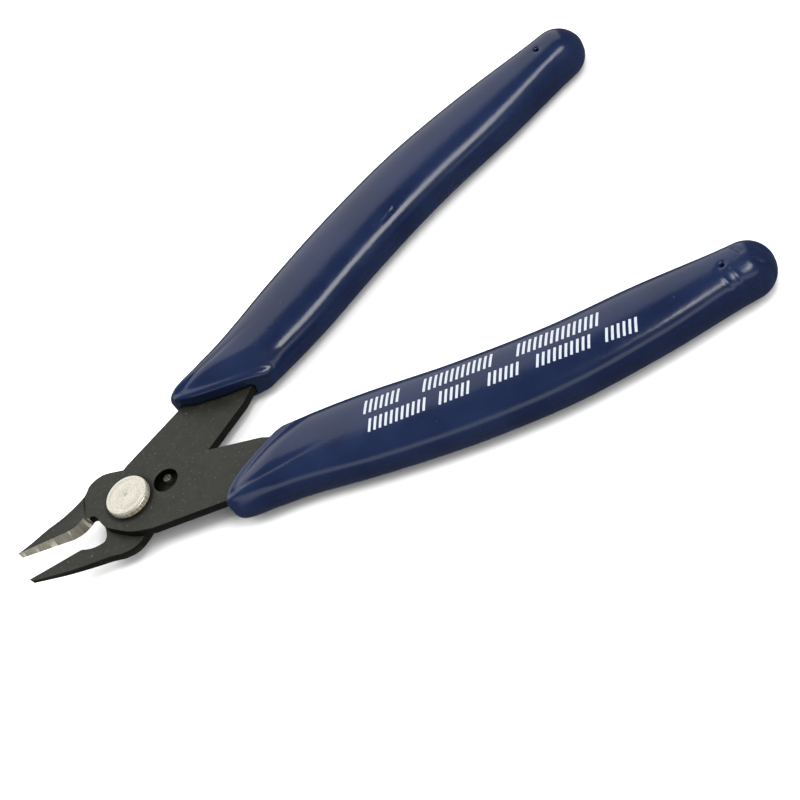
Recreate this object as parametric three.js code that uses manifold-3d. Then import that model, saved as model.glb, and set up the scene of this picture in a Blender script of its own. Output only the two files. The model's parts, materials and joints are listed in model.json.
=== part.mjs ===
// Flush cutter for electronics work: two stamped blades crossed like scissors on a rivet,
// a return spring of bent wire, a stop pin in a window, and two dipped vinyl grips.
//
// Units are millimetres. Each half is drawn in its own frame: the pivot is at the origin,
// +X runs to the handle, +Y to that half's own handle side, and the plate lies just below
// z = 0, where it meets the other half. The rear half is turned about Z by half the opening
// angle. The front half is turned over about X first. The finished tool lies flat, with +X
// from the jaws to the grips, +Z along the pivot, and its origin under the middle.

import * as THREE from 'three';
import { mergeVertices } from 'three/addons/utils/BufferGeometryUtils.js';
import Module from 'manifold-3d';

const wasm = await Module();
wasm.setup();

// ---- driving dimensions ----------------------------------------------------------------

const openAngle = 19.2;         // degrees between the two halves with the spring open
const plateThickness = 1.5;
const layerGap = 0.05;          // between the plates, and between a plate and a rivet head
const fitClearance = 0.1;       // radial, around the shank and the stop pin
const sleeveClearance = 0.3;    // between a tang and the sleeve over it

const jawBendX = -7.5;          // the jaws bend up from this line
const jawBendAngle = 10.5;      // degrees
const jawTipX = -20.2;
const jawTipThickness = 0.7;
// Each blade's own throat and cutting edge, in its half's frame. The two edges meet once the
// halves have closed by 13.7 degrees.
const frontJaw = { throat: [-7.4, -0.35], slope: [-9.0, 1.5], root: [-11.2, 1.75], tip: [-19.9, 1.6] };
const rearJaw = { throat: [-8.0, -2.15], slope: [-9.6, -2.2], root: [-11.2, -0.75], tip: [-20.4, 0.1] };
const jawTipWidth = 0.6;
const jawOuterShift = 0.9;      // the jaws' outer edges lie this far off the pivot
const pastJawTip = 4;           // how far the cutting tools run on past the tip
// The outer edge from the jaw to the head: x, y, and the share of jawOuterShift it takes.
const outerEdge = [
  [-17.8, -0.85, 1],
  [-14.8, -2.3, 1],
  [-11.3, -3.7, 1],
  [-7.9, -5.4, 0.5],
  [-6.3, -6.9, 0],
  [-3.7, -7.6, 0],
  [-0.5, -6.6, 0],
];
// The round head, from the handle's side to where the throat starts.
const headStart = [2.8, 8.1];
const headEdge = [[-0.8, 6.7], [-3.4, 4.7], [-5.0, 3.2], [-5.8, 1.7]];
const throatTurnX = -6.3;       // the throat's curve turns about this x
const throatTurnDepth = 0.2;    // and this far inside the throat's end
const bevelStartX = -8.2;       // the ground face runs from here to past the tip
const bevelLean = 0.87;         // how far it leans back, per unit of thickness

const neckInnerY = 1.3;         // the blade's inner edge where the tang starts
const neckOuterY = 10.8;        // the blade's outer edge where the tang starts
const neckInnerX = 24;
const neckOuterX = 20;

const rivetHeadRadius = 3.9;
const rivetHeadHeight = 1.1;
const rivetShankRadius = 2.0;
const rivetEdgeRound = 0.3;
const rivetDimpleRadius = 0.5;
const rivetDimpleDepth = 0.15;

const windowX = 6.7;            // the hole in the front blade that the stop pin moves in
const windowRadius = 2.2;
const stopPinX = 6.7;
const stopPinY = -1.1;
const stopPinRadius = 0.75;
const stopPinRound = 0.15;
const stopPinStandOut = 0.7;    // how far it stands out of the rear blade into the window

const gripThickness = 8;
const gripWall = 3.6;           // sleeve beside the tang
const gripEndX = 107.9;
const gripEndRadius = 4.6;
const gripSkinStartX = 10;      // the sleeve's skin starts here and is then cut at its mouth
const mouthRimHeight = 2.2;     // half-height of the sleeve at its mouth
const mouthRampLength = 5;      // from the rim back to full height
const tangRunStartX = 30;       // from here the tang follows the handle's run
const tangEndX = 96;
const cavityStartX = 8;         // the space for the blade starts here, ahead of the mouth
const cavityInnerY = -3.9;
const cavityOuterY = 8.7;

// The mouth seen from above: its round nose at the outer side, then its slant to the inner side.
const mouthCurve = [
  [21.5, 15.0],
  [18.6, 14.2],
  [16.7, 12.9],
  [15.9, 11.2],
  [16.7, 9.1],
  [18.8, 6.8],
  [23.6, 3.6],
  [28.6, 0.9],
];
const mouthInside = [30, -6];   // beyond the grip's inner side
const mouthOutside = [23, 20];  // beyond its outer side
const mouthRimFrom = [31.3, -0.8];
const mouthRimTo = [11.0, 13.6];
const clearOfGrip = 40;         // half the size of a tool that has to reach past everything
const cutterReach = 6;

const springWireRadius = 0.5;
const springWireZ = 0.8;        // the wire's middle, in the other blade's layer

const plateColour = 0x2b2b29;
const rivetColour = 0xc9c3b6;
const springColour = 0x55534e;
const gripColour = 0x16234f;

const halfOpen = THREE.MathUtils.degToRad(openAngle / 2);
const bendSlope = Math.tan(THREE.MathUtils.degToRad(jawBendAngle));
const meetingZ = layerGap / 2;
const plateFaceZ = meetingZ + plateThickness;
const gripRunEndX = gripEndX - gripEndRadius;

// The handle's run, at equal steps from gripSkinStartX to gripRunEndX: y of its middle and
// half its width.
const handleStations = [
  [6.7, 6.8],
  [7.5, 6.7],
  [10.3, 7.7],
  [13.4, 7.6],
  [15.3, 7.2],
  [15.5, 6.4],
  [15.5, gripEndRadius],
];
const handleRun = new THREE.SplineCurve(
  handleStations.map(([middle, halfWidth]) => new THREE.Vector2(middle, halfWidth)),
);

function handleAt(x) {
  const along = (x - gripSkinStartX) / (gripRunEndX - gripSkinStartX);
  const station = handleRun.getPoint(THREE.MathUtils.clamp(along, 0, 1));
  return { middle: station.x, halfWidth: station.y };
}

// ---- solids ----------------------------------------------------------------------------

function toSolid(geometry) {
  const bare = geometry.clone();
  bare.deleteAttribute('normal');
  bare.deleteAttribute('uv');
  const merged = mergeVertices(bare, 1e-4);
  return new wasm.Manifold(new wasm.Mesh({
    numProp: 3,
    vertProperties: new Float32Array(merged.attributes.position.array),
    triVerts: new Uint32Array(merged.index.array),
  }));
}

function toGeometry(solid) {
  const mesh = solid.getMesh();
  const geometry = new THREE.BufferGeometry();
  geometry.setAttribute('position', new THREE.BufferAttribute(mesh.vertProperties, 3));
  geometry.setIndex(new THREE.BufferAttribute(mesh.triVerts, 1));
  return geometry;
}

function slab(shape, lowZ, highZ) {
  const geometry = new THREE.ExtrudeGeometry(shape, {
    depth: highZ - lowZ,
    bevelEnabled: false,
    curveSegments: 6,
  });
  return geometry.translate(0, 0, lowZ);
}

function cylinder(radius, x, y) {
  const tall = 4 * plateThickness;
  const geometry = new THREE.CylinderGeometry(radius, radius, tall, 32);
  return geometry.rotateX(Math.PI / 2).translate(x, y, 0);
}

function turned(profile) {
  const points = profile.map(([radius, z]) => new THREE.Vector2(radius, z));
  return new THREE.LatheGeometry(points, 40).rotateX(Math.PI / 2);
}

// A block on the far side of a flat face, to cut that face with. The face holds the line
// from edgeStart to edgeEnd and runs along faceDirection, and the block lies towards side.
function blockOffFace(edgeStart, edgeEnd, faceDirection, side) {
  const along = edgeEnd.clone().sub(edgeStart);
  const length = along.length();
  along.normalize();
  const outward = new THREE.Vector3().crossVectors(along, faceDirection).normalize();
  if (outward.dot(side) < 0) outward.negate();
  const across = new THREE.Vector3().crossVectors(outward, along);
  const block = new THREE.BoxGeometry(length, 2 * cutterReach, cutterReach);
  block.translate(length / 2, 0, cutterReach / 2);
  const place = new THREE.Matrix4().makeBasis(along, across, outward).setPosition(edgeStart);
  return toSolid(block.applyMatrix4(place));
}

// ---- blades ----------------------------------------------------------------------------

// The tang inside the grip: round its end, from the neck's inner edge to its outer edge.
function addTang(outline) {
  const steps = 12;
  const stationX = (step) => tangRunStartX + (step / steps) * (tangEndX - tangRunStartX);
  for (let step = 0; step <= steps; step += 1) {
    const { middle, halfWidth } = handleAt(stationX(step));
    outline.lineTo(stationX(step), middle - halfWidth + gripWall);
  }
  const end = handleAt(tangEndX);
  const endRadius = end.halfWidth - gripWall;
  outline.absarc(tangEndX, end.middle, endRadius, -Math.PI / 2, Math.PI / 2, false);
  for (let step = steps; step >= 0; step -= 1) {
    const { middle, halfWidth } = handleAt(stationX(step));
    outline.lineTo(stationX(step), middle + halfWidth - gripWall);
  }
  outline.lineTo(neckOuterX, neckOuterY);
}

// Seen from above: the outer edge from the tip to the head, the neck, the tang, the round head,
// and the throat that leads into the cutting edge. The jaw lies off the pivot by jawShift.
function bladeOutline(jaw, jawShift) {
  const outline = new THREE.Shape();
  outline.moveTo(jawTipX, jaw.tip[1] - jawTipWidth);
  outline.splineThru(outerEdge.map(([x, y, share]) => new THREE.Vector2(x, y + share * jawShift)));
  outline.lineTo(neckInnerX, neckInnerY);
  addTang(outline);
  outline.lineTo(...headStart);
  outline.splineThru(headEdge.map(([x, y]) => new THREE.Vector2(x, y)));
  outline.quadraticCurveTo(throatTurnX, jaw.throat[1] - throatTurnDepth, ...jaw.throat);
  outline.quadraticCurveTo(...jaw.slope, ...jaw.root);
  outline.lineTo(...jaw.tip);
  return outline;
}

// Seen from the side: a flat strip whose jaw end bends by bendSign and thins to its tip.
function bentStrip(bendSign) {
  const farX = jawTipX - pastJawTip;
  const rise = bendSign * (jawBendX - farX) * bendSlope;
  const thinning = (plateThickness - jawTipThickness) / (jawBendX - jawTipX);
  const farThickness = plateThickness - thinning * (jawBendX - farX);
  const side = new THREE.Shape();
  side.moveTo(farX, rise - meetingZ);
  side.lineTo(farX, rise - meetingZ - farThickness);
  side.lineTo(jawBendX, -plateFaceZ);
  side.lineTo(gripEndX, -plateFaceZ);
  side.lineTo(gripEndX, -meetingZ);
  side.lineTo(jawBendX, -meetingZ);
  return toSolid(slab(side, -clearOfGrip, clearOfGrip).rotateX(Math.PI / 2));
}

// The straight cutting edge on the meeting face, carried on past both of its ends.
function edgePoint(jaw, bendSign, x) {
  const slope = (jaw.tip[1] - jaw.root[1]) / (jaw.tip[0] - jaw.root[0]);
  const z = -meetingZ + bendSign * (jawBendX - x) * bendSlope;
  return new THREE.Vector3(x, jaw.root[1] + slope * (x - jaw.root[0]), z);
}

function cuttingBevel(jaw, bendSign) {
  const root = edgePoint(jaw, bendSign, bevelStartX);
  const pastTip = edgePoint(jaw, bendSign, jawTipX - pastJawTip / 2);
  const backOverThickness = new THREE.Vector3(0, -bevelLean, -1);
  return blockOffFace(root, pastTip, backOverThickness, new THREE.Vector3(0, 1, 0));
}

function bladeSolid(jaw, jawShift, bendSign) {
  const tall = 8 * plateThickness;
  return toSolid(slab(bladeOutline(jaw, jawShift), -tall, tall))
    .intersect(bentStrip(bendSign))
    .subtract(cuttingBevel(jaw, bendSign))
    .subtract(toSolid(cylinder(rivetShankRadius + fitClearance, 0, 0)));
}

function frontBlade() {
  const stopWindow = toSolid(cylinder(windowRadius, windowX, 0));
  return toGeometry(bladeSolid(frontJaw, jawOuterShift, -1).subtract(stopWindow));
}

function rearBlade() {
  const pinHole = toSolid(cylinder(stopPinRadius + fitClearance, stopPinX, stopPinY));
  return toGeometry(bladeSolid(rearJaw, -jawOuterShift, 1).subtract(pinHole));
}

// ---- rivet, stop pin and spring --------------------------------------------------------

function rivet() {
  const headBase = plateFaceZ + layerGap;
  const headTop = headBase + rivetHeadHeight;
  const midRound = rivetEdgeRound * (1 - Math.SQRT1_2);
  const frontHalf = [
    [rivetShankRadius, 0],
    [rivetShankRadius, headBase],
    [rivetHeadRadius, headBase],
    [rivetHeadRadius, headTop - rivetEdgeRound],
    [rivetHeadRadius - midRound, headTop - midRound],
    [rivetHeadRadius - rivetEdgeRound, headTop],
    [rivetDimpleRadius, headTop],
    [0, headTop - rivetDimpleDepth],
  ];
  const backHalf = frontHalf.slice(1).reverse().map(([radius, z]) => [radius, -z]);
  return turned([...backHalf, ...frontHalf]);
}

function stopPin() {
  const low = -plateFaceZ;
  const high = stopPinStandOut;
  return turned([
    [0, low],
    [stopPinRadius, low],
    [stopPinRadius, high - stopPinRound],
    [stopPinRadius - stopPinRound, high],
    [0, high],
  ]).translate(stopPinX, stopPinY, 0);
}

// One wire: its long leg is held in the front grip, its bend bears on the rear blade's inner
// edge, and its short leg turns back over the front blade.
const springPath = new THREE.CatmullRomCurve3([
  [52, 12.6], [40, 9.2], [30, 5.3], [26, 3.7], [20, 1.6], [15, -0.1],
  [13.4, -0.8], [12.5, -1.0], [11.9, -0.3], [9.6, 3.1],
].map(([x, y]) => new THREE.Vector3(x, y, springWireZ)), false, 'centripetal');

function wireAlongSpring(radius) {
  const section = new THREE.Shape();
  section.absarc(0, 0, radius, 0, 2 * Math.PI, false);
  return new THREE.ExtrudeGeometry(section, {
    steps: 44,
    curveSegments: 8,
    extrudePath: springPath,
  });
}

// ---- grips -----------------------------------------------------------------------------

// The sleeve's skin is a ball stretched along the handle's run. Its section has flat faces
// and round sides, and both of its ends are round.
function gripSkin() {
  const around = 28;
  const alongRun = 34;
  const skin = new THREE.SphereGeometry(1, around, alongRun).rotateY(Math.PI / around);
  const position = skin.attributes.position;
  for (let index = 0; index < position.count; index += 1) {
    const along = (1 - position.getY(index)) / 2;
    const x = gripSkinStartX + along * (gripEndX - gripSkinStartX);
    const turn = Math.atan2(position.getZ(index), position.getX(index));
    const { middle, halfWidth } = handleAt(x);
    const pastRun = Math.max(0, x - gripRunEndX, gripSkinStartX + gripEndRadius - x);
    const endRound = Math.sqrt(Math.max(0, 1 - (pastRun / gripEndRadius) ** 2));
    const halfHeight = endRound * gripThickness / 2;
    const sideRadius = Math.min(halfHeight, endRound * halfWidth);
    const flatHalf = endRound * halfWidth - sideRadius;
    const y = middle + sideRadius * Math.cos(turn) + Math.sign(Math.cos(turn)) * flatHalf;
    position.setXYZ(index, x, y, halfHeight * Math.sin(turn));
  }
  return toSolid(skin);
}

// Everything behind the slanted mouth, seen from above, with the round nose at its outer end.
function behindMouth() {
  const farX = gripEndX + clearOfGrip;
  const [mouthStart, ...mouthRest] = mouthCurve;
  const region = new THREE.Shape();
  region.moveTo(...mouthInside);
  region.lineTo(farX, mouthInside[1]);
  region.lineTo(farX, clearOfGrip);
  region.lineTo(...mouthOutside);
  region.lineTo(...mouthStart);
  region.splineThru(mouthRest.map(([x, y]) => new THREE.Vector2(x, y)));
  return toSolid(slab(region, -gripThickness, gripThickness));
}

// The ramp from the mouth's thin rim up to a full face. faceSign is +1 above, -1 below.
function mouthRamp(faceSign) {
  const rimZ = faceSign * mouthRimHeight;
  const innerEnd = new THREE.Vector3(...mouthRimFrom, rimZ);
  const outerEnd = new THREE.Vector3(...mouthRimTo, rimZ);
  const rim = innerEnd.clone().sub(outerEnd);
  const back = new THREE.Vector3(-rim.y, rim.x, 0).setLength(mouthRampLength);
  back.z = faceSign * (gripThickness / 2 - mouthRimHeight);
  return blockOffFace(innerEnd, outerEnd, back, new THREE.Vector3(0, 0, faceSign));
}

// The space for the tang and the neck, larger all round by the sleeve's clearance.
function tangCavity() {
  const outline = new THREE.Shape();
  outline.moveTo(cavityStartX, cavityInnerY);
  outline.lineTo(neckInnerX, neckInnerY);
  addTang(outline);
  outline.lineTo(cavityStartX, cavityOuterY);
  const geometry = new THREE.ExtrudeGeometry(outline, {
    depth: plateThickness,
    bevelSize: sleeveClearance,
    bevelThickness: sleeveClearance,
    bevelSegments: 1,
    curveSegments: 6,
  });
  return toSolid(geometry.translate(0, 0, -plateFaceZ));
}

function gripSolid() {
  return gripSkin()
    .intersect(behindMouth())
    .subtract(mouthRamp(1))
    .subtract(mouthRamp(-1))
    .subtract(tangCavity());
}

function frontGrip() {
  return toGeometry(gripSolid().subtract(toSolid(wireAlongSpring(springWireRadius + sleeveClearance))));
}

function rearGrip() {
  return toGeometry(gripSolid());
}

// ---- the tool --------------------------------------------------------------------------

function part(name, geometry, color, roughness, metalness) {
  const material = new THREE.MeshStandardMaterial({ color, roughness, metalness });
  const mesh = new THREE.Mesh(geometry, material);
  mesh.name = name;
  return mesh;
}

const frontHalf = new THREE.Group();
frontHalf.add(part('front_blade', frontBlade(), plateColour, 0.5, 0.8));
frontHalf.add(part('front_grip', frontGrip(), gripColour, 0.3, 0));
frontHalf.add(part('return_spring', wireAlongSpring(springWireRadius), springColour, 0.35, 1));
frontHalf.rotation.set(Math.PI, 0, halfOpen);

const rearHalf = new THREE.Group();
rearHalf.add(part('rear_blade', rearBlade(), plateColour, 0.5, 0.8));
rearHalf.add(part('rear_grip', rearGrip(), gripColour, 0.3, 0));
rearHalf.add(part('stop_pin', stopPin(), springColour, 0.4, 1));
rearHalf.rotation.z = halfOpen;

const tool = new THREE.Group();
tool.add(frontHalf, rearHalf, part('pivot_rivet', rivet(), rivetColour, 0.3, 1));

const extent = new THREE.Box3().setFromObject(tool, true);
const middle = extent.getCenter(new THREE.Vector3());
tool.position.set(-middle.x, -middle.y, -extent.min.z);

export default tool;
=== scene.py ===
"""Looks for the flush cutter: fine meshes, procedural materials, camera, light and floor.

Lengths are in millimetres while a piece is drawn, and place() turns them into metres. Each half is
drawn in its own frame: the pivot is the origin, +X runs to the handle, +Y to that half's own handle
side, and the plate lies just below z = 0. The rear half is turned about Z by half the opening angle.
The front half is turned over about X, and then about Z by the same angle the other way.
"""

import json
import math

import bmesh
import bpy
import numpy as np
from mathutils import Matrix, Vector, noise
from mathutils.bvhtree import BVHTree


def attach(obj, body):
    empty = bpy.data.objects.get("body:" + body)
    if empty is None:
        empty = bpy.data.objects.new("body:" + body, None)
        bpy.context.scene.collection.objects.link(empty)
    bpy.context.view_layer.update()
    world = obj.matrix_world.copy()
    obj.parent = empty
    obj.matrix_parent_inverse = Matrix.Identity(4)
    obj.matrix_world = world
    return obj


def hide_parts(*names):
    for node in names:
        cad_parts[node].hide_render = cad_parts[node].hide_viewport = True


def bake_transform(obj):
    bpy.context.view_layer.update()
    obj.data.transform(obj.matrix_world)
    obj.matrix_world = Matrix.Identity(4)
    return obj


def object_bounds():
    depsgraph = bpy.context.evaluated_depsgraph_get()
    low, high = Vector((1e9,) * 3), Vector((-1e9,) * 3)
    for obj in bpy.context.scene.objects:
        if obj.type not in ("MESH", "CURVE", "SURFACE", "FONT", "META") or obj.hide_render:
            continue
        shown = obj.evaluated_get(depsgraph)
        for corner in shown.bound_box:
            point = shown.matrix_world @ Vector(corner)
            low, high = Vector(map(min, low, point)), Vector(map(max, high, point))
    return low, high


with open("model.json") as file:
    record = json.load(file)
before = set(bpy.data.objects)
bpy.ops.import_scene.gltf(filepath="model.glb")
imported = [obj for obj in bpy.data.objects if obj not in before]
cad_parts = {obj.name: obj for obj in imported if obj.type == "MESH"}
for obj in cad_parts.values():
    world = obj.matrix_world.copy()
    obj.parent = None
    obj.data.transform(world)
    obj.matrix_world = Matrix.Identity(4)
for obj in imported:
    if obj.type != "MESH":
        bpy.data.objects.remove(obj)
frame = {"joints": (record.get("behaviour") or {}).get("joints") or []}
cad_low, cad_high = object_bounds()

MM = 0.001
hinge = frame["joints"][0]
pivot = Vector(hinge["pos_m"])
half_open = math.radians(9.6)

to_metres = Matrix.Scale(MM, 4)
rear_half = Matrix.Translation(pivot) @ Matrix.Rotation(half_open, 4, "Z")
front_half = (
    Matrix.Translation(pivot)
    @ Matrix.Rotation(-half_open, 4, "Z")
    @ Matrix.Rotation(math.pi, 4, "X")
)
HALVES = {"rear_half": rear_half, "front_half": front_half}

# ---- driving dimensions ----------------------------------------------------------------------

# These are the CAD part's, but the mouth's rim is 0.2 mm higher here, and the rivet's head has a
# 0.1 mm smaller radius.

PLATE = 1.5
MEETING_Z = 0.025
SHANK_RADIUS = 2.0
FIT_CLEARANCE = 0.1
SLEEVE_CLEARANCE = 0.3

JAW_BEND_X = -7.5
JAW_BEND_SLOPE = math.tan(math.radians(10.5))
JAW_TIP_X = -20.2
JAW_TIP_THICKNESS = 0.7
JAW_OUTER_SHIFT = 0.9
JAW_TIP_WIDTH = 0.6
FRONT_JAW = {"throat": (-7.4, -0.35), "slope": (-9.0, 1.5), "root": (-11.2, 1.75), "tip": (-19.9, 1.6)}
REAR_JAW = {"throat": (-8.0, -2.15), "slope": (-9.6, -2.2), "root": (-11.2, -0.75), "tip": (-20.4, 0.1)}
BEVEL_LEAN = 0.87

NECK_INNER = (24.0, 1.3)
NECK_OUTER = (20.0, 10.8)
TANG_END_X = 96.0

GRIP_HALF_HEIGHT = 4.0
GRIP_WALL = 3.6
GRIP_END_X = 107.9
GRIP_END_RADIUS = 4.6
GRIP_START_X = 10.0
GRIP_RUN_END_X = GRIP_END_X - GRIP_END_RADIUS
MOUTH_RIM = 2.4
MOUTH_RAMP = 5.0

WINDOW = (6.7, 0.0)
WINDOW_RADIUS = 2.2
STOP_PIN = (6.7, -1.1)
STOP_PIN_RADIUS = 0.75
STOP_PIN_TOP = 0.7

HEAD_RADIUS = 3.8
HEAD_HEIGHT = 1.1
WIRE_RADIUS = 0.5
WIRE_Z = 0.8

HANDLE_STATIONS = [
    (6.7, 6.8),
    (7.5, 6.7),
    (10.3, 7.7),
    (13.4, 7.6),
    (15.3, 7.2),
    (15.5, 6.4),
    (15.5, 4.6),
]

# ---- dimensions of the fine meshes only ------------------------------------------------------

FOLD_STRIP = 0.35
EDGE_BEVEL = 0.13
EDGE_BEVEL_ANGLE = 38

# The grinding tool: the point of the inner edge where it starts, the depths that it spans below
# the plate's face, and how far it reaches out past the edge.
GRIND_START = 15
GRIND_DEPTHS = (-0.25, 2.2)
GRIND_REACH = 0.5
GRIND_RUN_ON = 2.5

HEAD_RIM_ROUND = 0.32
STOP_PIN_ROUND = 0.16
SMALL_CHAMFER = 0.08
RIVET_DIMPLE = 0.13

# A corner of the grip's section is squarer than an ellipse's, whose power is 2.
SECTION_POWER = 2.4
PINHOLE_X = 100.4
PINHOLE_SHIFT_Y = 0.2
PINHOLE_RADIUS = 0.45
VOXEL = 0.27
SWELL = 0.03
SWELL_SCALE = 0.13

# The grip's nose, at the outer side of its mouth, and the crease beside it.
NOSE_ROUND = 3.6
NOSE_THINS_FROM_Y = 11.1
NOSE_THINS_TO_Y = 12.6
NOSE_BASE = 0.3
VINYL_OVER_TANG = 0.15
CREASE_Y = 10.5
CREASE_WIDTH = 0.38
CREASE_DEPTH = 0.3

# The lip round the mouth, each as (how far behind the rim, width, height).
LIP_BEAD = (0.6, 0.4, 0.2)
LIP_GROOVE = (1.5, 0.45, -0.14)

# The slots in a blade's material list.
PLATE_SLOT, WALL_SLOT, EDGE_SLOT, GROUND_SLOT = range(4)


# ---- curves ----------------------------------------------------------------------------------


def spline_point(points, along):
    """The point at along, from 0 to 1, of a Catmull-Rom curve through the points."""
    last = len(points) - 1
    place = min(max(along, 0.0), 1.0) * last
    index = min(int(place), last - 1)
    t = place - index
    p0, p1, p2, p3 = (Vector(points[min(max(index + k, 0), last)]) for k in (-1, 0, 1, 2))
    v0, v1 = (p2 - p0) / 2, (p3 - p1) / 2
    return (2 * p1 - 2 * p2 + v0 + v1) * t**3 + (3 * p2 - 3 * p1 - 2 * v0 - v1) * t**2 + v0 * t + p1


def spline(points, steps):
    """Points along that curve, without the first."""
    return [spline_point(points, k / steps) for k in range(1, steps + 1)]


def quadratic(start, control, end, steps):
    """Points along a curve with one control point, without the first."""
    a, b, c = Vector(start), Vector(control), Vector(end)
    made = []
    for k in range(1, steps + 1):
        t = k / steps
        made.append(a * (1 - t) ** 2 + b * 2 * t * (1 - t) + c * t**2)
    return made


def arc(centre, radius, start, end, steps):
    """Points along an arc between two angles, with both ends."""
    made = []
    for k in range(steps + 1):
        a = start + (end - start) * k / steps
        made.append(Vector((centre[0] + radius * math.cos(a), centre[1] + radius * math.sin(a))))
    return made


def circle(centre, radius, sides):
    return arc(centre, radius, 0, 2 * math.pi * (sides - 1) / sides, sides - 1)


def handle_at(x):
    """(y of the handle's middle, half its width) at x."""
    along = (x - GRIP_START_X) / (GRIP_RUN_END_X - GRIP_START_X)
    return spline_point(HANDLE_STATIONS, along)


# ---- mesh tools ------------------------------------------------------------------------------


def new_object(name, bm):
    """Turns a bmesh into an object in the scene."""
    mesh = bpy.data.meshes.new(name)
    bmesh.ops.recalc_face_normals(bm, faces=bm.faces)
    bm.to_mesh(mesh)
    bm.free()
    made = bpy.data.objects.new(name, mesh)
    bpy.context.scene.collection.objects.link(made)
    return made


def prism(name, outline, low, high):
    """A solid that stands on an outline from z low to z high."""
    bm = bmesh.new()
    bottom = [bm.verts.new((p[0], p[1], low)) for p in outline]
    top = [bm.verts.new((p[0], p[1], high)) for p in outline]
    bm.faces.new(bottom)
    bm.faces.new(top)
    for k in range(len(outline)):
        after = (k + 1) % len(outline)
        bm.faces.new((bottom[k], bottom[after], top[after], top[k]))
    return new_object(name, bm)


def skin_rings(name, rings):
    """A closed skin over rings of points, with a fan at each end."""
    bm = bmesh.new()
    made = [[bm.verts.new(p) for p in ring] for ring in rings]
    for ring, after in zip(made, made[1:]):
        for k in range(len(ring)):
            nxt = (k + 1) % len(ring)
            bm.faces.new((ring[k], ring[nxt], after[nxt], after[k]))
    for ring in (made[0], made[-1]):
        centre = bm.verts.new(sum((v.co for v in ring), Vector()) / len(ring))
        for k in range(len(ring)):
            bm.faces.new((ring[k], ring[(k + 1) % len(ring)], centre))
    return new_object(name, bm)


def lathe(name, profile, segments=96):
    """A solid turned about Z. The profile starts and ends on the axis."""
    bm = bmesh.new()
    ends = [bm.verts.new((0, 0, profile[0][1])), bm.verts.new((0, 0, profile[-1][1]))]
    rings = []
    for radius, z in profile[1:-1]:
        turn = [2 * math.pi * k / segments for k in range(segments)]
        rings.append([bm.verts.new((radius * math.cos(a), radius * math.sin(a), z)) for a in turn])
    for k in range(segments):
        nxt = (k + 1) % segments
        bm.faces.new((ends[0], rings[0][k], rings[0][nxt]))
        bm.faces.new((ends[1], rings[-1][k], rings[-1][nxt]))
        for ring, after in zip(rings, rings[1:]):
            bm.faces.new((ring[k], ring[nxt], after[nxt], after[k]))
    return new_object(name, bm)


def apply_modifiers(made):
    """Replaces an object's mesh with what its modifiers make of it."""
    bpy.context.view_layer.update()
    graph = bpy.context.evaluated_depsgraph_get()
    mesh = bpy.data.meshes.new_from_object(made.evaluated_get(graph))
    made.modifiers.clear()
    made.data = mesh
    return made


def carve(target, tool, operation="DIFFERENCE", tool_folds=False):
    """Cuts target with a tool, which may cross itself where tool_folds says so."""
    modifier = target.modifiers.new(operation, "BOOLEAN")
    modifier.operation = operation
    modifier.solver = "EXACT"
    modifier.use_self = tool_folds
    modifier.object = tool
    apply_modifiers(target)
    bpy.data.objects.remove(tool)
    return target


def smooth_by_angle(made, degrees):
    """Shades smooth, and keeps the edges that turn by the angle or more sharp."""
    bm = bmesh.new()
    bm.from_mesh(made.data)
    for face in bm.faces:
        face.smooth = True
    for edge in bm.edges:
        edge.smooth = edge.calc_face_angle(0.0) < math.radians(degrees)
    bm.to_mesh(made.data)
    bm.free()


def lay(made, body):
    """Turns a drawn piece into metres and lays it in the frame of its half."""
    made.data.transform(to_metres)
    made.matrix_world = HALVES[body]


def place(made, body, slot, *nodes):
    """Lays a piece in its half, gives it its body, and hides the CAD nodes it stands for. The slot is
    not used.
    """
    lay(made, body)
    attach(made, body)
    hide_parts(*nodes)
    return made


# ---- material tools --------------------------------------------------------------------------


def with_alpha(colour):
    """A colour with its alpha. An output of a node stays as it is."""
    return (*colour, 1.0) if isinstance(colour, tuple) else colour


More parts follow.
